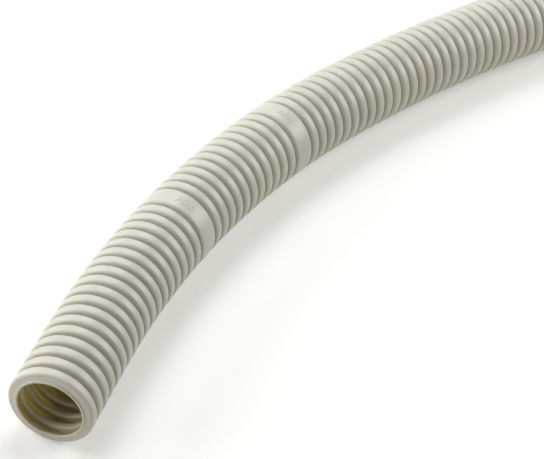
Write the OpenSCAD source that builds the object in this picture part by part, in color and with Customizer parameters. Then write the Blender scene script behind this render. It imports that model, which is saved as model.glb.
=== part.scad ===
// Corrugated plastic conduit, 25 mm size, one cut length.
//
// The wall is one blow-moulded skin thrown into ring-shaped ribs, so the inside is waved as the
// outside is. The length lies on its side with a gentle bend left in it: a short straight lead at
// the near end, a bend, an easier bend, and a long straight run to the far end.
// Origin: the middle of the near cut end, on the tube's axis. +X: along the long straight run,
// towards the far end. +Z: up. The floor that it lies on is one crest radius below the origin.

/* [Tube] */
// Diameter over the rib crests, the size that fittings and clips are sold by
crest_d = 25; // [20:0.5:32]
// Diameter of the outside at the bottom of the grooves
groove_d = 20.1; // [16:0.1:26]
// Wall thickness
wall = 0.6; // [0.4:0.05:0.8]

/* [Ribs] */
// Distance from one rib to the next
pitch = 4.35; // [4:0.05:5.5]
// Width of the flat on a rib's crest
crest_flat = 1.2; // [0.8:0.1:1.4]
// Width of the flat at the bottom of a groove
groove_flat = 0.8; // [0.6:0.05:1]
// How far in from the groove's edge a rib's side leans by the time it reaches the rounded shoulder
side_lean = 0.25; // [0.1:0.05:0.4]
// Height of the rounded shoulder between a rib's side and its crest
shoulder_h = 0.9; // [0.5:0.1:1.2]
// Flat steps in the rounded shoulder on the outside
shoulder_steps = 2; // [1:1:3]

/* [Marking bands] */
// Ribs before the first smooth band
band_start = 18; // [10:1:20]
// Ribs from the start of one band to the start of the next
band_repeat = 13; // [8:1:15]
// Number of smooth bands
band_count = 2; // [0:1:2]
// Rib places that one smooth band takes up
band_ribs = 2; // [2:1:3]

/* [Length and bend] */
// Cut length, to the nearest whole rib
cut_l = 1000; // [600:50:1200]
// Ribs in the straight lead at the near end
lead_ribs = 6; // [2:1:8]
// Ribs in the first bend
bend_ribs = 34; // [30:1:40]
// Radius of the first bend, at the tube's axis
bend_r = 333; // [280:1:500]
// Ribs in the easier bend that follows
ease_ribs = 26; // [20:1:30]
// Radius of the easier bend
ease_r = 625; // [400:5:1000]

/* [Hidden] */
$fn = 64;

skin = "#d3d0c3";

crest_r = crest_d / 2;
groove_r = groove_d / 2;
bore_r = groove_r - wall;
// Half the width of a rib where it stands on the groove's floor, outside and inside the wall
foot = (pitch - groove_flat) / 2;
pocket_foot = foot - wall;

// Heading of the axis, in degrees anticlockwise from +X, at a distance s along the tube. It is the
// bending still to come before the straight run: the arc left in each bend, over its radius.
lead_l = lead_ribs * pitch;
bend_l = bend_ribs * pitch;
ease_l = ease_ribs * pitch;
function to_come(s, start, length, radius) =
    180 / PI * max(0, min(start + length - s, length)) / radius;
function heading(s) =
    to_come(s, lead_l, bend_l, bend_r) + to_come(s, lead_l + bend_l, ease_l, ease_r);

// A smooth band is one wide rib over band_ribs places. These say how many places the rib that
// starts at place r covers, or 0 where a band has already covered that place.
band_starts = [for (b = [0:1:band_count - 1]) band_start + b * band_repeat];
function covered(r) = max([0, for (b = band_starts) r > b && r < b + band_ribs ? 1 : 0]);
function places(r) = covered(r) ? 0 : max([1, for (b = band_starts) r == b ? band_ribs : 1]);

// Every rib keeps its shape and the tube turns in the grooves. So the tube is a chain of straight
// links, as [first rib place, number of places]: the lead, each rib of the bends, and the long run.
bent_end = lead_ribs + bend_ribs + ease_ribs;
links = concat([[0, lead_ribs]],
               [for (r = [lead_ribs:bent_end - 1]) if (places(r) > 0) [r, places(r)]],
               [[bent_end, round(cut_l / pitch) - bent_end]]);

// A link points as the smooth curve does at its middle. The joints are where the links' lengths,
// laid end to end along their headings, bring the axis.
link_headings = [for (k = links) heading((k[0] + k[1] / 2) * pitch)];
function along(i) = links[i][1] * pitch * [cos(link_headings[i]), sin(link_headings[i])];
joints = [for (i = 0, at = [0, 0]; i < len(links); at = at + along(i), i = i + 1) at];
function joint_heading(i) = (link_headings[i] + link_headings[i - 1]) / 2;

// The links stop short of the joint by enough that no two touch where the bend is tightest. A ring
// inside the thickness of the wall joins them.
tightest = max([for (i = [1:len(links) - 1]) link_headings[i - 1] - link_headings[i]]);
link_gap = groove_r * tan(tightest / 2) + 0.05;
ring_inset = 0.1;
ring_reach = link_gap + 0.6;

// Half a rib's outline as points [distance from the rib's middle, radius], from its foot up over
// the rounded shoulder to the edge of the crest's flat. The shoulder is a quarter of an ellipse.
function half_rib(foot, floor_r, top_r, flat, lean, rise, steps) =
    let (run = foot - lean - flat / 2)
    concat([[foot, floor_r]],
           [for (k = [0:steps])
               [flat / 2 + run * cos(90 * k / steps), top_r - rise + rise * sin(90 * k / steps)]]);

// A whole rib's outline about middle, stretched there by extra where it is a smooth band.
function rib(half, middle, extra = 0) = concat(
    [for (p = half) [middle - extra / 2 - p[0], p[1]]],
    [for (k = [len(half) - 1:-1:0]) [middle + extra / 2 + half[k][0], half[k][1]]]);

outer_half = half_rib(foot, groove_r, crest_r, crest_flat, side_lean, shoulder_h, shoulder_steps);
inner_half = half_rib(pocket_foot, bore_r, crest_r - wall, crest_flat, side_lean / 2,
                      shoulder_h - wall / 2, 1);

// A straight stretch of the tube along +X, turned from one closed outline. It has count rib places
// from place first on, and stops start_gap and end_gap short of its full length.
module stretch(first, count, start_gap, end_gap) {
    ribs = [for (r = [first:first + count - 1]) if (places(r) > 0)
        [(r - first + places(r) / 2) * pitch, (places(r) - 1) * pitch]];
    end_x = count * pitch - end_gap;
    outer = [for (r = ribs) each rib(outer_half, r[0], r[1])];
    inner = [for (r = ribs) each rib(inner_half, r[0], r[1])];
    outline = concat(
        [[start_gap, bore_r], [start_gap, groove_r]], outer,
        [[end_x, groove_r], [end_x, bore_r]], [for (k = [len(inner) - 1:-1:0]) inner[k]]);
    rotate([0, 90, 0]) rotate_extrude() polygon([for (p = outline) [p[1], p[0]]]);
}

// The ring of wall in the groove between two links, centred on the joint.
module joint_ring()
    rotate([0, 90, 0]) rotate_extrude()
        translate([bore_r + ring_inset, -ring_reach])
            square([wall - 2 * ring_inset, 2 * ring_reach]);

// Places what is drawn along +X at the origin at joint i, or brings joint i back to the origin.
module at_joint(i) translate(concat(joints[i], 0)) rotate(joint_heading(i)) children();
module from_joint(i) rotate(-joint_heading(i)) translate(-concat(joints[i], 0)) children();

// Link i in its place. The first and the last end in the cuts.
module link(i)
    translate(concat(joints[i], 0)) rotate(link_headings[i])
        stretch(links[i][0], links[i][1], i == 0 ? 0 : link_gap,
                i == len(links) - 1 ? 0 : link_gap);

// Links from first up to but not including end, with the rings between them. Each half is joined
// to the other in the frame of the joint where they meet.
module chain(first, end) {
    middle = floor((first + end) / 2);
    if (end - first == 1) link(first);
    else at_joint(middle) {
        from_joint(middle) chain(first, middle);
        joint_ring();
        from_joint(middle) chain(middle, end);
    }
}

module conduit()
    color(skin) chain(0, len(links));

conduit();
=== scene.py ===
"""Corrugated plastic conduit, dressed.

Draws the ribbed wall as fine meshes with its finish, and sets the floor, lamps and camera round it.
"""

import logging
import math
from dataclasses import dataclass
from enum import Enum

import bmesh
import bpy
import numpy as np
from mathutils import Matrix, Vector


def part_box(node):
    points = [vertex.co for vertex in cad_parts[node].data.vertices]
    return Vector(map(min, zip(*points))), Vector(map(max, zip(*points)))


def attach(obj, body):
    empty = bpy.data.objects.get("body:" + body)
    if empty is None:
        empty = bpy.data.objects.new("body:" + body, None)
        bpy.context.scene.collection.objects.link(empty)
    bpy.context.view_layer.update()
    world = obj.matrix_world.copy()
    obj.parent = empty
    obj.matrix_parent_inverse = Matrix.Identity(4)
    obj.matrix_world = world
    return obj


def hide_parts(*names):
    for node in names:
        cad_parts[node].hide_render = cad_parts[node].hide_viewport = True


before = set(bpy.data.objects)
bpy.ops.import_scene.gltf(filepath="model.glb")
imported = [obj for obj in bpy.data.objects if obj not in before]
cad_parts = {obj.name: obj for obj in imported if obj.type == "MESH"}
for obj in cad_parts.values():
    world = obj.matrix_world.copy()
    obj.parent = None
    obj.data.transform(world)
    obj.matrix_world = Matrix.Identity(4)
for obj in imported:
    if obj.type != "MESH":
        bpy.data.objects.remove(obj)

LOG = logging.getLogger("conduit")
MM = 0.001
NODE = "conduit"
# Points nearer to each other than this many metres are made one.
MERGE_DISTANCE = 1e-7


def linear(hex_colour: str) -> tuple[float, float, float, float]:
    """Turns an sRGB hex colour into linear light.

    Args:
        hex_colour: six hex digits, with or without a leading #.

    Returns:
        Red, green, blue and an alpha of 1.
    """
    digits = hex_colour.lstrip("#")
    parts = [int(digits[i:i + 2], 16) / 255 for i in (0, 2, 4)]
    light = [c / 12.92 if c <= 0.04045 else ((c + 0.055) / 1.055) ** 2.4 for c in parts]
    return (light[0], light[1], light[2], 1.0)


def bare_tree(owner: bpy.types.Material | bpy.types.World) -> bpy.types.NodeTree:
    """Turns on the nodes of a material or world and clears them.

    Args:
        owner: what the nodes belong to.

    Returns:
        Its empty node tree.
    """
    owner.use_nodes = True
    owner.node_tree.nodes.clear()
    return owner.node_tree


def add_node(tree: bpy.types.NodeTree, kind: str, settings: dict | None = None,
             values: dict | None = None, links: dict | None = None) -> bpy.types.Node:
    """Adds one shader node.

    Args:
        tree: the node tree that it goes into.
        kind: Blender's name for the node type.
        settings: the node's own properties by name.
        values: what its input sockets hold, by socket name or number.
        links: nodes or output sockets to join to its inputs, by input name or number.

    Returns:
        The new node.
    """
    node = tree.nodes.new(kind)
    for name, value in (settings or {}).items():
        setattr(node, name, value)
    for name, value in (values or {}).items():
        socket_of(node, name).default_value = value
    for name, source in (links or {}).items():
        tree.links.new(result_of(source), socket_of(node, name))
    return node


def socket_of(node: bpy.types.Node, name: str | int) -> bpy.types.NodeSocket:
    """Finds an input of a node.

    Args:
        node: the node.
        name: the input's name, or its number among all of them.

    Returns:
        The enabled input with that name, or the one with that number.
    """
    if isinstance(name, int):
        return node.inputs[name]
    return next(s for s in node.inputs if s.name == name and s.enabled)


def result_of(source: bpy.types.Node | bpy.types.NodeSocket) -> bpy.types.NodeSocket:
    """Finds what a node gives.

    Args:
        source: the node, or a socket, which stands for itself.

    Returns:
        The node's first enabled output.
    """
    if isinstance(source, bpy.types.NodeSocket):
        return source
    return next(s for s in source.outputs if s.enabled)


def put_in_scene(name: str, data: bpy.types.ID) -> bpy.types.Object:
    """Makes an object at the origin and links it to the scene.

    Args:
        name: the object's name.
        data: its mesh, lamp or camera.

    Returns:
        The object.
    """
    made = bpy.data.objects.new(name, data)
    bpy.context.scene.collection.objects.link(made)
    return made


def grid_faces(rings: int, around: int, closed: bool) -> np.ndarray:
    """Faces of a grid of points, each between two neighbours on one ring and two on the next.

    Args:
        rings: how many rings.
        around: how many points to a ring. Every ring joins up with itself.
        closed: whether the last ring joins the first.

    Returns:
        Rows of four point numbers, ring by ring. A point's number is its ring times around, plus
        its place on the ring.
    """
    ring, spot = (a.ravel() for a in np.meshgrid(
        np.arange(rings if closed else rings - 1), np.arange(around), indexing="ij"))
    next_ring, next_spot = (ring + 1) % rings * around, (spot + 1) % around
    ring = ring * around
    return np.stack([ring + spot, ring + next_spot, next_ring + next_spot, next_ring + spot], 1)


class Face(Enum):
    """The two sides of the wall, numbered as their material slots."""

    OUTSIDE = 0
    BORE = 1


@dataclass(frozen=True)
class MouldedPvc:
    """Blow-moulded rigid PVC, self-coloured light warm grey.

    To the eye it is an opaque, slightly waxy plastic: a soft satin gloss from the mould, a trace of
    light passing into the wall at its thin edges, a faint cloudiness in the colour, and two fine
    parting lines where the mould blocks close.

    Attributes:
        name: the material's name.
        body: the plastic's colour. In the bore's finish it is painted lighter and yellower, a
        painted glow of the light through the wall.
        cloud: the near tone that clouds it.
        roughness: middle of the roughness.
        translucence: share of the light that goes into the wall, from 0 to 1.
        scatter: how far red, green and blue light go in it, against scatter_mm.
        scatter_mm: the farthest that light goes in it.
        cloud_mm: size of the clouds.
        cloud_detail: octaves of noise in them.
        cloud_edges: levels of that noise between which one tone turns into the other.
        grain_mm: size of the mould's grain. It is drawn coarser than a real one, which is too fine
            to show.
        grain_detail: octaves of noise in it.
        grain_depth_mm: how deep it is.
        gloss_spread: how far the roughness strays from its middle with the grain.
        parting_width: half the width of a parting line, as a share of half a turn.
        parting_height_mm: how high it stands.
        parting_turn: where the lines run, in half turns.
        ior: refractive index.
    """

    name: str
    body: str
    cloud: str
    roughness: float
    translucence: float
    scatter: tuple[float, float, float] = (1.0, 0.85, 0.45)
    scatter_mm: float = 0.9
    cloud_mm: float = 22.0
    cloud_detail: float = 3.0
    cloud_edges: tuple[float, float] = (0.35, 0.65)
    grain_mm: float = 0.9
    grain_detail: float = 4.0
    grain_depth_mm: float = 0.02
    gloss_spread: float = 0.06
    parting_width: float = 0.006
    parting_height_mm: float = 0.05
    parting_turn: float = 0.09
    ior: float = 1.53

    def clouded_colour(self, tree: bpy.types.NodeTree, place: bpy.types.Node) -> bpy.types.Node:
        """Mixes the two tones by a soft cloud.

        Args:
            tree: the material's nodes.
            place: the texture coordinates.

        Returns:
            The node that gives the colour.
        """
        low, high = self.cloud_edges
        cloud = add_node(tree, "ShaderNodeTexNoise",
                         values={"Scale": 1 / (self.cloud_mm * MM), "Detail": self.cloud_detail},
                         links={"Vector": place.outputs["Object"]})
        spread = add_node(tree, "ShaderNodeMapRange", values={"From Min": low, "From Max": high},
                          links={"Value": cloud})
        return add_node(tree, "ShaderNodeMix", {"data_type": "RGBA"},
                        {"A": linear(self.body), "B": linear(self.cloud)}, {"Factor": spread})

    def parting_lines(self, tree: bpy.types.NodeTree, place: bpy.types.Node) -> bpy.types.Node:
        """Raises a thin ridge at two places half a turn apart, from the UV map's turn.

        The turn is counted in halves and shifted by parting_turn. Its fraction passes a half at
        each line, and the ridge rises as the distance from there falls below parting_width.

        Args:
            tree: the material's nodes.
            place: the texture coordinates.

        Returns:
            The node that gives the bent normal.
        """
        turn = add_node(tree, "ShaderNodeSeparateXYZ", links={"Vector": place.outputs["UV"]})
        halves = add_node(tree, "ShaderNodeMath", {"operation": "MULTIPLY_ADD"},
                          {1: 2.0, 2: self.parting_turn}, {0: turn.outputs["X"]})
        lap = add_node(tree, "ShaderNodeMath", {"operation": "FRACT"}, links={0: halves})
        aside = add_node(tree, "ShaderNodeMath", {"operation": "SUBTRACT"}, {1: 0.5}, {0: lap})
        away = add_node(tree, "ShaderNodeMath", {"operation": "ABSOLUTE"}, links={0: aside})
        ridge = add_node(tree, "ShaderNodeMapRange", {"interpolation_type": "SMOOTHSTEP"},
                         {"From Min": self.parting_width, "From Max": 0.0}, {"Value": away})
        return add_node(tree, "ShaderNodeBump", values={"Distance": self.parting_height_mm * MM},
                        links={"Height": ridge})

    def material(self) -> bpy.types.Material:
        """Builds the finish as nodes: clouded colour, parting lines, and grain in relief and gloss.

        Returns:
            The material.
        """
        made = bpy.data.materials.new(self.name)
        tree = bare_tree(made)
        place = add_node(tree, "ShaderNodeTexCoord")
        grain = add_node(tree, "ShaderNodeTexNoise",
                         values={"Scale": 1 / (self.grain_mm * MM), "Detail": self.grain_detail},
                         links={"Vector": place.outputs["Object"]})
        gloss = add_node(tree, "ShaderNodeMapRange",
                         values={"To Min": self.roughness - self.gloss_spread,
                                 "To Max": self.roughness + self.gloss_spread},
                         links={"Value": grain})
        relief = add_node(tree, "ShaderNodeBump", values={"Distance": self.grain_depth_mm * MM},
                          links={"Height": grain, "Normal": self.parting_lines(tree, place)})
        shader = add_node(tree, "ShaderNodeBsdfPrincipled",
                          values={"IOR": self.ior, "Subsurface Weight": self.translucence,
                                  "Subsurface Radius": self.scatter,
                                  "Subsurface Scale": self.scatter_mm * MM},
                          links={"Base Color": self.clouded_colour(tree, place),
                                 "Roughness": gloss, "Normal": relief})
        add_node(tree, "ShaderNodeOutputMaterial", links={"Surface": shader})
        return made


@dataclass(frozen=True)
class Route:
    """The line of the tube's axis on the floor, in millimetres.

    It is a straight lead, a bend, an easier bend and a straight run. Distances along it start at
    the near cut end.

    Attributes:
        pitch: from one rib place to the next.
        lead_ribs: rib places in the lead.
        bend_ribs: rib places in the bend.
        bend_radius: its radius.
        ease_ribs: rib places in the easier bend.
        ease_radius: its radius.
        total_ribs: rib places from end to end.
        step: length of the short steps that the line is summed in.
    """

    pitch: float = 4.35
    lead_ribs: int = 6
    bend_ribs: int = 34
    bend_radius: float = 333.0
    ease_ribs: int = 26
    ease_radius: float = 625.0
    total_ribs: int = 230
    step: float = 0.1

    @property
    def bent_end(self) -> int:
        """Rib place at which the bends are over."""
        return self.lead_ribs + self.bend_ribs + self.ease_ribs

    def heading(self, along: np.ndarray) -> np.ndarray:
        """Heading of the axis: the arc left in each bend over that bend's radius, summed.

        Args:
            along: distances from the near end.

        Returns:
            Angles in radians, anticlockwise from the straight run.
        """
        lead, bend, ease = (count * self.pitch
                            for count in (self.lead_ribs, self.bend_ribs, self.ease_ribs))
        return (np.clip(lead + bend - along, 0, bend) / self.bend_radius
                + np.clip(lead + bend + ease - along, 0, ease) / self.ease_radius)

    def place(self, along: np.ndarray) -> np.ndarray:
        """Point of the axis: the running sum of short steps, each along the heading at its middle.

        Args:
            along: distances from the near end.

        Returns:
            x, y and a height of 0, on a new last axis.
        """
        marks = np.arange(0, self.total_ribs * self.pitch + 2 * self.step, self.step)
        middles = self.heading(marks[:-1] + self.step / 2)
        x = np.concatenate([[0], np.cumsum(np.cos(middles) * self.step)])
        y = np.concatenate([[0], np.cumsum(np.sin(middles) * self.step)])
        return np.stack([np.interp(along, marks, x), np.interp(along, marks, y),
                         np.zeros_like(along)], -1)

    def beside(self, station: np.ndarray, offset: np.ndarray, radius: np.ndarray,
               turn: np.ndarray) -> np.ndarray:
        """Points round the axis: the axis point at the station, plus the offset along the heading
        there, plus the radius turned from the left side up over the top.

        Args:
            station: distances along the axis where the points take their direction.
            offset: how far they stand from there in that direction.
            radius: how far they stand from the axis.
            turn: angles in radians from the tube's left side, over the top.

        Returns:
            x, y and z in metres, on a new last axis after the shape that the four share.
        """
        station, offset, radius, turn = np.broadcast_arrays(station, offset, radius, turn)
        heading = self.heading(station)
        sin, cos = np.sin(heading), np.cos(heading)
        across = radius * np.cos(turn)
        shift = np.stack([offset * cos - across * sin, offset * sin + across * cos,
                          radius * np.sin(turn)], -1)
        return (self.place(station) + shift) * MM


@dataclass(frozen=True)
class Rings:
    """The rings that a surface of revolution is strung from, in millimetres.

    Attributes:
        station: distance along the axis where each ring takes its direction.
        offset: how far it stands from there in that direction.
        radius: its size.
    """

    station: np.ndarray
    offset: np.ndarray
    radius: np.ndarray

    def __getitem__(self, span: slice) -> "Rings":
        """The rings that a slice picks, in its order."""
        return Rings(self.station[span], self.offset[span], self.radius[span])

    @staticmethod
    def joined(*parts: "Rings") -> "Rings":
        """Strings several runs of rings into one, in order."""
        return Rings(*(np.concatenate([getattr(p, name) for p in parts])
                       for name in ("station", "offset", "radius")))


@dataclass(frozen=True)
class Fineness:
    """How many points a stretch of wall gets.

    Attributes:
        around: points to a ring.
        outer_toe: points to the rounding at a rib's foot.
        outer_brow: points to a rib's shoulder.
        bore_toe: points to the rounding at a land's edge.
        bore_brow: points to a pocket's shoulder.
    """

    around: int
    outer_toe: int
    outer_brow: int
    bore_toe: int
    bore_brow: int


CLOSE = Fineness(around=64, outer_toe=3, outer_brow=7, bore_toe=4, bore_brow=4)
DISTANT = Fineness(around=44, outer_toe=2, outer_brow=4, bore_toe=2, bore_brow=3)


@dataclass(frozen=True)
class RibWall:
    """Section of the wall over one rib, in millimetres.

    Attributes:
        crest_radius: outside radius over the ribs.
        groove_radius: outside radius in the grooves.
        thickness: of the wall.
        pitch: from one rib to the next.
        crest_flat: width of a rib's flat top.
        groove_flat: width of a groove's floor.
        side_lean: how far a rib's side leans in on its way up.
        shoulder: height of the rounding between side and top.
        crown: how much higher the middle of the top is than its edges.
        fillet: size of the rounding at a rib's foot.
        land_edge: size of the rounding at the edge of a land in the bore.
        land_lean: how much of side_lean the wall leans over that rounding, as a share.
        lip: rounding of the near cut end's edges.
        lip_points: points to that rounding.
    """

    crest_radius: float
    groove_radius: float = 10.05
    thickness: float = 0.6
    pitch: float = 4.35
    crest_flat: float = 1.4
    groove_flat: float = 0.8
    side_lean: float = 0.15
    shoulder: float = 1.0
    crown: float = 0.05
    fillet: float = 0.18
    land_edge: float = 0.6
    land_lean: float = 0.125
    lip: float = 0.12
    lip_points: int = 4

    @property
    def foot(self) -> float:
        """Half the width of a rib where it stands on the groove's floor."""
        return (self.pitch - self.groove_flat) / 2

    @property
    def bore_radius(self) -> float:
        """Radius of the inside at the lands under the grooves."""
        return self.groove_radius - self.thickness

    @staticmethod
    def corner(foot: float, floor: float, size: float, lean: float, points: int) -> np.ndarray:
        """A rounded inside corner: a parabola from the floor to the side, both tangents met.

        Args:
            foot: where floor and side would meet, as a distance from the rib's middle.
            floor: radius of the floor.
            size: how far the rounding starts from the corner.
            lean: how far the side leans in over that height.
            points: how many points to give.

        Returns:
            Rows of distance from the rib's middle and radius.
        """
        t = np.linspace(0, 1, points)[:, None]
        start, bend, end = np.array([[foot + size, floor], [foot, floor],
                                     [foot - lean, floor + size]])
        return (1 - t) ** 2 * start + 2 * t * (1 - t) * bend + t ** 2 * end

    @staticmethod
    def brow(outer: float, flat: float, top: float, height: float, points: int) -> np.ndarray:
        """A rib's shoulder: a quarter of an ellipse from the side up to the flat of the crest.

        Args:
            outer: distance of its low end from the rib's middle.
            flat: half the flat on the crest.
            top: radius at the crest.
            height: how far down it starts.
            points: how many points to give.

        Returns:
            Rows of distance from the rib's middle and radius.
        """
        rise = np.radians(np.linspace(0, 90, points))
        return np.stack([flat + (outer - flat) * np.cos(rise),
                         top - height + height * np.sin(rise)], 1)

    def half(self, face: Face, fineness: Fineness) -> np.ndarray:
        """Half of a rib, from the floor beside it up to the flat of its crest.

        Args:
            face: the outside, or the pocket that the rib makes in the bore.
            fineness: how many points to give.

        Returns:
            Rows of distance from the rib's middle and radius.
        """
        flat = self.crest_flat / 2
        if face is Face.OUTSIDE:
            rise = self.crest_radius - self.shoulder - self.groove_radius
            toe = self.corner(self.foot, self.groove_radius, self.fillet,
                              self.side_lean * self.fillet / rise, fineness.outer_toe)
            brow = self.brow(self.foot - self.side_lean, flat, self.crest_radius - self.crown,
                             self.shoulder - self.crown, fineness.outer_brow)
        else:
            foot = self.foot - self.thickness
            toe = self.corner(foot, self.bore_radius, self.land_edge,
                              self.side_lean * self.land_lean, fineness.bore_toe)
            brow = self.brow(foot - self.side_lean / 2, flat, self.crest_radius - self.thickness,
                             self.shoulder - self.thickness / 2, fineness.bore_brow)
        return np.concatenate([toe, brow])

    def ribs(self, face: Face, places: np.ndarray, widths: np.ndarray, fineness: Fineness) -> Rings:
        """Rings of a row of ribs, each with the middle of the groove before it.

        Args:
            face: the outside or the bore.
            places: the first rib place of each rib.
            widths: how many places each takes up. More than one is a smooth band.
            fineness: how many rings to a rib.

        Returns:
            The rings, from the middle of the first groove to the middle of the last.
        """
        half = self.half(face, fineness)
        floor = self.groove_radius if face is Face.OUTSIDE else self.bore_radius
        top = self.crest_radius - (0 if face is Face.OUTSIDE else self.thickness)
        sides = np.concatenate([-half[:, 0], [0], half[::-1, 0]])
        radii = np.concatenate([half[:, 1], [top], half[::-1, 1]])
        middles = (places + widths / 2) * self.pitch
        extra = (widths - 1) * self.pitch / 2
        offset = np.pad(sides + np.sign(sides) * extra[:, None], ((0, 0), (1, 0)))
        station = np.repeat(middles[:, None], len(sides) + 1, 1)
        station[:, 0] = places * self.pitch
        radius = np.tile(np.concatenate([[floor], radii]), (len(places), 1))
        last = (places[-1] + widths[-1]) * self.pitch
        return Rings(np.append(station, last), np.append(offset, 0.0), np.append(radius, floor))

    def cut_lip(self, face: Face) -> Rings:
        """Rings of the near cut end's rounded lip: a quarter round from the flat of the cut.

        Args:
            face: the outside or the bore.

        Returns:
            The rings, from the flat of the cut to the floor of the groove or land.
        """
        turn = np.radians(np.linspace(0, 90, self.lip_points))
        floor, way = (self.groove_radius, 1) if face is Face.OUTSIDE else (self.bore_radius, -1)
        return Rings(np.zeros(self.lip_points), self.lip * (1 - np.cos(turn)),
                     floor - way * self.lip * (1 - np.sin(turn)))


@dataclass(frozen=True)
class TallyStrokes:
    """A short row of plain raised strokes round a smooth band, in millimetres. They say nothing.

    Attributes:
        lengths: of the strokes, along the axis.
        spacing: from one to the next, round the band.
        width: of each.
        proud: how far each stands out.
        squareness: power of the sines that shape them, where 1 is round and 0 is a block.
        middle_turn: where the row's middle is, in degrees from the left side over the top.
        slant: how far a stroke leans round the band for its length along it.
        poles: points along a stroke.
        laps: points round one.
    """

    lengths: tuple[float, ...] = (2.8, 1.5, 2.8, 2.8, 1.5, 2.8)
    spacing: float = 0.95
    width: float = 0.44
    proud: float = 0.13
    squareness: float = 0.4
    middle_turn: float = 98.0
    slant: float = 0.12
    poles: int = 9
    laps: int = 12

    def squared(self, wave: np.ndarray) -> np.ndarray:
        """Squares off sines or cosines: their size to a power below 1, with the sign kept."""
        return np.sign(wave) * np.abs(wave) ** self.squareness

    def pillows(self, route: Route, band_middle: float, radius: float) -> np.ndarray:
        """The strokes of one band, each a pillow that is half sunk in the wall.

        A pillow is an ellipsoid of squared-off sines and cosines, long along the axis and narrow
        round the tube. It leans by slant as it goes along.

        Args:
            route: the line of the tube's axis.
            band_middle: where the band's middle is, as a distance along the axis.
            radius: radius of the band.

        Returns:
            An array of strokes by poles by laps by x, y, z, in metres.
        """
        pole = np.linspace(-np.pi / 2, np.pi / 2, self.poles)[:, None]
        lap = np.arange(self.laps) * 2 * np.pi / self.laps
        girth = self.squared(np.cos(pole))
        along = np.array(self.lengths)[:, None, None] / 2 * self.squared(np.sin(pole))
        count = len(self.lengths)
        row = (np.arange(count) - (count - 1) / 2)[:, None, None] * self.spacing
        aside = row + self.width / 2 * girth * self.squared(np.cos(lap)) + self.slant * along
        height = self.proud * girth * self.squared(np.sin(lap))
        turn = math.radians(self.middle_turn) + aside / radius
        return route.beside(np.full_like(turn, band_middle), along, radius + height, turn)


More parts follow.
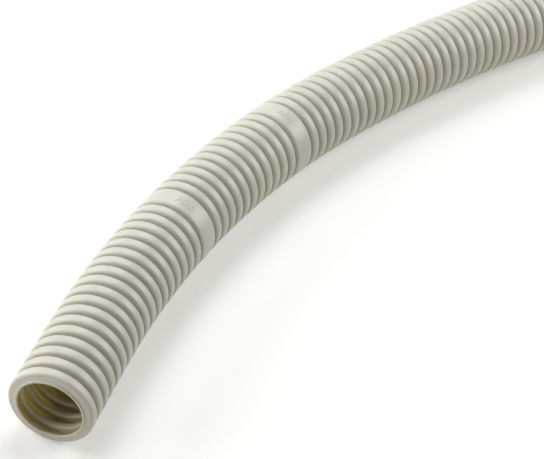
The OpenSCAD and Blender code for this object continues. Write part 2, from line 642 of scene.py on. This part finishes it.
@dataclass
class Conduit:
    """The length of conduit: one wall, made as a few meshes that meet in the middles of grooves.

    Attributes:
        route: the line of its axis.
        wall: its section.
        finishes: the material of each side.
        band_starts: rib place where each smooth band starts.
        band_ribs: rib places that a band takes up.
        strokes: the row of strokes on each band.
        cut_wander: how far the near cut strays from true, in millimetres.
        wander_waves: what it strays by: size, waves to a turn, and lead in radians of each.
        sharp_angle: faces that meet at more degrees than this have a hard edge.
    """

    route: Route
    wall: RibWall
    finishes: dict[Face, bpy.types.Material]
    band_starts: tuple[int, ...] = (18, 31)
    band_ribs: int = 2
    strokes: TallyStrokes = TallyStrokes()
    cut_wander: float = 0.1
    wander_waves: tuple[tuple[float, int, float], ...] = ((0.6, 2, 0.8), (0.4, 5, 0.0))
    sharp_angle: float = 42.0

    def places(self, first: int, end: int) -> tuple[np.ndarray, np.ndarray]:
        """The ribs from one rib place up to another, with a smooth band as one wide rib.

        Args:
            first: the first rib place.
            end: the rib place after the last.

        Returns:
            The first place of each rib, and how many places it takes up.
        """
        starts = np.array(self.band_starts)
        row = np.arange(first, end)
        past = row[:, None] - starts
        keep = ~((past > 0) & (past < self.band_ribs)).any(1)
        return row[keep], np.where(np.isin(row, starts), self.band_ribs, 1)[keep]

    def rows(self, first: int, end: int, fineness: Fineness) -> dict[Face, Rings]:
        """Rings of one stretch of the wall, with the lip where it starts at the near cut end.

        Args:
            first: the rib place that it starts at.
            end: the rib place that it ends before.
            fineness: how many rings to a rib.

        Returns:
            The rings of each side, from the near end on.
        """
        rows = {face: self.wall.ribs(face, *self.places(first, end), fineness) for face in Face}
        if first == 0:
            rows = {face: Rings.joined(self.wall.cut_lip(face), row[1:])
                    for face, row in rows.items()}
        return rows

    def surface(self, rings: Rings, around: int) -> np.ndarray:
        """The wall's surface as a grid of points: each ring turned round the axis.

        Near the cut end the offset also wanders by slow waves round the ring.

        Args:
            rings: the rings in order.
            around: how many points to a ring.

        Returns:
            An array of rings by points by x, y, z, in metres.
        """
        turn = np.arange(around) * 2 * np.pi / around
        near = np.clip(1 - (rings.station + rings.offset) / (self.wall.groove_flat / 2), 0, 1)
        wave = sum(size * np.sin(count * turn + lead)
                   for size, count, lead in self.wander_waves) + 1
        offset = rings.offset[:, None] + self.cut_wander * near[:, None] * wave / 2
        return self.route.beside(rings.station[:, None], offset, rings.radius[:, None], turn)

    def stretch(self, name: str, first: int, end: int, fineness: Fineness) -> bpy.types.Object:
        """One mesh of the wall from the middle of one groove to the middle of another.

        Its rings run along the outside and back along the bore, so that the grid closes on itself
        both along and round, and the two flat ends are the faces between the two rows. Its UV map
        holds the turn round the axis and the distance along it.

        Args:
            name: the piece's name.
            first: the rib place that it starts at.
            end: the rib place that it ends before.
            fineness: how many points it gets.

        Returns:
            The piece.
        """
        rows = self.rows(first, end, fineness)
        rings = Rings.joined(rows[Face.OUTSIDE], rows[Face.BORE][::-1])
        count, around = len(rings.radius), fineness.around
        faces = grid_faces(count, around, True)
        mesh = bpy.data.meshes.new(name)
        mesh.from_pydata(self.surface(rings, around).reshape(-1, 3), [], faces)

        ring = faces // around
        turn = (faces[:, :1] % around + np.array([0, 1, 1, 0])) / around
        along = ((rings.station + rings.offset) * MM)[ring]
        uv = mesh.uv_layers.new(name="TurnAndLength")
        uv.data.foreach_set("uv", np.stack([turn, along], 2).astype(np.float32).ravel())

        for face in Face:
            mesh.materials.append(self.finishes[face])
        in_bore = (ring[:, 0] >= len(rows[Face.OUTSIDE].radius)) & (ring[:, 0] < count - 1)
        mesh.polygons.foreach_set("material_index", in_bore.astype(np.int32))
        mesh.polygons.foreach_set("use_smooth", np.ones(len(faces), bool))
        mesh.update()
        mesh.set_sharp_from_angle(angle=math.radians(self.sharp_angle))
        return self.keep(mesh)

    def mark_bands(self, name: str) -> bpy.types.Object:
        """Puts the raised strokes on the smooth bands, as one piece of closed pillows.

        Args:
            name: the piece's name.

        Returns:
            The piece.
        """
        middles = [(start + self.band_ribs / 2) * self.wall.pitch for start in self.band_starts]
        pillows = np.concatenate([self.strokes.pillows(self.route, middle, self.wall.crest_radius)
                                  for middle in middles])
        count, poles, laps = pillows.shape[:3]
        first_points = np.arange(count)[:, None, None] * poles * laps
        faces = (first_points + grid_faces(poles, laps, False)).reshape(-1, 4)
        mesh = bpy.data.meshes.new(name)
        mesh.from_pydata(pillows.reshape(-1, 3), [], faces)

        shaper = bmesh.new()
        shaper.from_mesh(mesh)
        bmesh.ops.remove_doubles(shaper, verts=shaper.verts, dist=MERGE_DISTANCE)
        bmesh.ops.recalc_face_normals(shaper, faces=shaper.faces)
        shaper.to_mesh(mesh)
        shaper.free()
        mesh.materials.append(self.finishes[Face.OUTSIDE])
        mesh.shade_smooth()
        return self.keep(mesh)

    def keep(self, mesh: bpy.types.Mesh) -> bpy.types.Object:
        """Puts a mesh in the scene as a piece of the conduit, and reports it.

        Args:
            mesh: the finished mesh, whose name the piece takes.

        Returns:
            The piece.
        """
        piece = put_in_scene(mesh.name, mesh)
        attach(piece, "root")
        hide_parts(NODE)
        LOG.info("%s: %d faces", piece.name, len(mesh.polygons))
        return piece

    def build(self) -> None:
        """Makes the wall in four stretches, two close ones over the bends and two plainer ones over
        the run, and marks the bands."""
        bent, total = self.route.bent_end, self.route.total_ribs
        middle = (bent + total) // 2
        self.stretch("conduit_near_bend", 0, bent // 2, CLOSE)
        self.stretch("conduit_easing_bend", bent // 2, bent, CLOSE)
        self.stretch("conduit_run", bent, middle, DISTANT)
        self.stretch("conduit_far_run", middle, total, DISTANT)
        self.mark_bands("conduit_band_strokes")


@dataclass(frozen=True)
class Lamp:
    """A soft box: a square lamp that faces the tube.

    Attributes:
        name: the lamp's name.
        compass: which way it lies from the tube, in degrees anticlockwise from +X.
        height: how far it is above the floor, in degrees.
        size: length of its side, in metres.
        level: the light that it alone throws on a surface square to it, where 1 shows a white
            surface as white.
        tint: its colour.
        distance: how far off it hangs, in metres.
    """

    name: str
    compass: float
    height: float
    size: float
    level: float
    tint: str = "ffffff"
    distance: float = 1.8

    def hang(self, at: Vector) -> None:
        """Hangs the lamp over a point.

        Args:
            at: the point on the floor that it is turned to.
        """
        light = bpy.data.lights.new(self.name, "AREA")
        light.shape, light.size = "SQUARE", self.size
        # A lamp of P watts at distance d shows a white surface as P over pi squared d squared.
        light.energy = self.level * math.pi ** 2 * self.distance ** 2
        light.color = linear(self.tint)[:3]
        lamp = put_in_scene(self.name, light)
        flat, up = math.radians(self.compass), math.radians(self.height)
        away = Vector((math.cos(flat) * math.cos(up), math.sin(flat) * math.cos(up), math.sin(up)))
        lamp.location = at + away * self.distance
        lamp.rotation_euler = away.to_track_quat("Z", "Y").to_euler()


@dataclass(frozen=True)
class Eye:
    """The camera, by the point at axis height that it looks at. Lengths are in millimetres and
    angles in degrees.

    Attributes:
        target: x and y of that point.
        heading: which way it looks, anticlockwise from +X.
        elevation: how steeply it looks down.
        distance: how far it is from the point.
        roll: how far it is turned about its own line of sight.
        lens: focal length.
        sensor: width of the sensor.
        clip: nearest and farthest that it sees, in metres.
    """

    target: tuple[float, float] = (97.568, 31.790)
    heading: float = 44.147
    elevation: float = 41.992
    distance: float = 557.48
    roll: float = 14.736
    lens: float = 121.54
    sensor: float = 36.0
    clip: tuple[float, float] = (0.01, 20.0)

    def place(self) -> None:
        """Makes the camera and sets it as the scene's."""
        data = bpy.data.cameras.new("camera")
        data.lens, data.sensor_width = self.lens, self.sensor
        data.clip_start, data.clip_end = self.clip
        camera = put_in_scene("camera", data)
        flat, up = math.radians(self.heading), math.radians(self.elevation)
        back = Vector((-math.cos(flat) * math.cos(up), -math.sin(flat) * math.cos(up),
                       math.sin(up)))
        level = Vector((0, 0, 1)).cross(back).normalized()
        turn = math.radians(self.roll)
        right = level * math.cos(turn) + back.cross(level) * math.sin(turn)
        axes = Matrix((right, back.cross(right), back)).transposed()
        spot = Vector((*self.target, 0)) * MM + back * self.distance * MM
        camera.matrix_world = Matrix.Translation(spot) @ axes.to_4x4()
        bpy.context.scene.camera = camera


@dataclass
class Studio:
    """A plain pale floor, soft lamps, a white surround, and the camera.

    Attributes:
        floor_height: height of the floor, in metres.
        lamps: the lamps.
        eye: the camera.
        middle: x and y of the point that the lamps are turned to, in millimetres.
        floor_reach: how far the floor goes from there, in metres.
        floor_colour: the floor's colour.
        floor_lift: the floor's own light, where it is seen.
    """

    floor_height: float
    lamps: tuple[Lamp, ...]
    eye: Eye = Eye()
    middle: tuple[float, float] = (130.0, 60.0)
    floor_reach: float = 6.0
    floor_colour: str = "f2f2ec"
    floor_lift: float = 0.3

    @staticmethod
    def seen(tree: bpy.types.NodeTree) -> bpy.types.Node:
        """Tells whether a ray shows a surface directly, in a gloss or through glass.

        Args:
            tree: the nodes that it is asked in.

        Returns:
            A node that gives 1 for such rays, else 0.
        """
        path = add_node(tree, "ShaderNodeLightPath")
        first = add_node(tree, "ShaderNodeMath", {"operation": "MAXIMUM"},
                         links={0: path.outputs["Is Camera Ray"], 1: path.outputs["Is Glossy Ray"]})
        return add_node(tree, "ShaderNodeMath", {"operation": "MAXIMUM"},
                        links={0: first, 1: path.outputs["Is Transmission Ray"]})

    def floor_material(self) -> bpy.types.Material:
        """Matt pale paper. It takes the shadow, and its own light lifts it to white where seen.

        Returns:
            The material.
        """
        made = bpy.data.materials.new("pale_paper")
        tree = bare_tree(made)
        paper = add_node(tree, "ShaderNodeBsdfDiffuse", values={"Color": linear(self.floor_colour)})
        lift = add_node(tree, "ShaderNodeMath", {"operation": "MULTIPLY"}, {1: self.floor_lift},
                        {0: self.seen(tree)})
        glow = add_node(tree, "ShaderNodeEmission", values={"Color": linear("ffffff")},
                        links={"Strength": lift})
        both = add_node(tree, "ShaderNodeAddShader", links={0: paper, 1: glow})
        add_node(tree, "ShaderNodeOutputMaterial", links={"Surface": both})
        return made

    def lay_floor(self, middle: Vector) -> None:
        """Lays the floor as one square sheet under the tube.

        Args:
            middle: the middle of the sheet.
        """
        square = np.array([[-1, -1], [1, -1], [1, 1], [-1, 1]])
        edge = square * self.floor_reach + np.array(middle[:2])
        mesh = bpy.data.meshes.new("floor")
        mesh.from_pydata(np.pad(edge, ((0, 0), (0, 1)), constant_values=self.floor_height), [],
                         [(0, 1, 2, 3)])
        mesh.materials.append(self.floor_material())
        floor = put_in_scene("floor", mesh)

    def set_surround(self) -> None:
        """Fills the surround with white where it is seen. It sheds no light of its own."""
        world = bpy.data.worlds.new("surround")
        bpy.context.scene.world = world
        tree = bare_tree(world)
        white = add_node(tree, "ShaderNodeBackground", values={"Color": linear("ffffff")},
                         links={"Strength": self.seen(tree)})
        add_node(tree, "ShaderNodeOutputWorld", links={"Surface": white})

    def build(self) -> None:
        """Sets up everything round the object."""
        middle = Vector((*self.middle, 0)) * MM
        self.lay_floor(middle)
        self.set_surround()
        for lamp in self.lamps:
            lamp.hang(middle)
        self.eye.place()
        bpy.context.scene.view_settings.view_transform = "Standard"


# The outside has the satin of the mould. The bore is duller, and so thin a wall, lit from the
# outside, glows through to a warm olive there. The bore's colour is also painted lighter and
# yellower than the outside's: a painted glow of the light through the wall, on top of the real
# scatter in it.
FINISHES = {
    Face.OUTSIDE: MouldedPvc("moulded_pvc_light_grey", body="d2cfc1", cloud="cdcabb",
                             roughness=0.4, translucence=0.03),
    # Painted glow: body and cloud are lighter and yellower than the outside's, for light through
    # the wall.
    Face.BORE: MouldedPvc("moulded_pvc_bore_painted_glow", body="e1d9c0", cloud="dad1b7",
                          roughness=0.6, translucence=1.0, scatter=(1.0, 0.96, 0.76),
                          scatter_mm=1.15, parting_height_mm=0.0),
}

LAMPS = (
    Lamp("key", compass=122, height=21, size=1.0, level=0.62, tint="fdfcff"),
    Lamp("high_left", compass=145, height=60, size=0.8, level=0.24, tint="fafaff"),
    Lamp("low_left", compass=162, height=12, size=0.7, level=0.18),
    Lamp("far", compass=60, height=50, size=0.9, level=0.38, tint="f5f6ff"),
    Lamp("far_right", compass=-20, height=36, size=0.6, level=0.53, distance=1.1),
    Lamp("low_front", compass=-148, height=10, size=0.6, level=0.09, tint="fff6ea"),
)


def main() -> None:
    """Builds the tube and its surroundings in order."""
    logging.basicConfig(level=logging.INFO, format="%(name)s %(message)s")
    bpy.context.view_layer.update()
    low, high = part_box(NODE)
    wall = RibWall(crest_radius=(high.z - low.z) / 2 / MM)
    Conduit(Route(), wall, {face: finish.material() for face, finish in FINISHES.items()}).build()
    Studio(low.z, LAMPS).build()


if __name__ == "__main__":
    main()
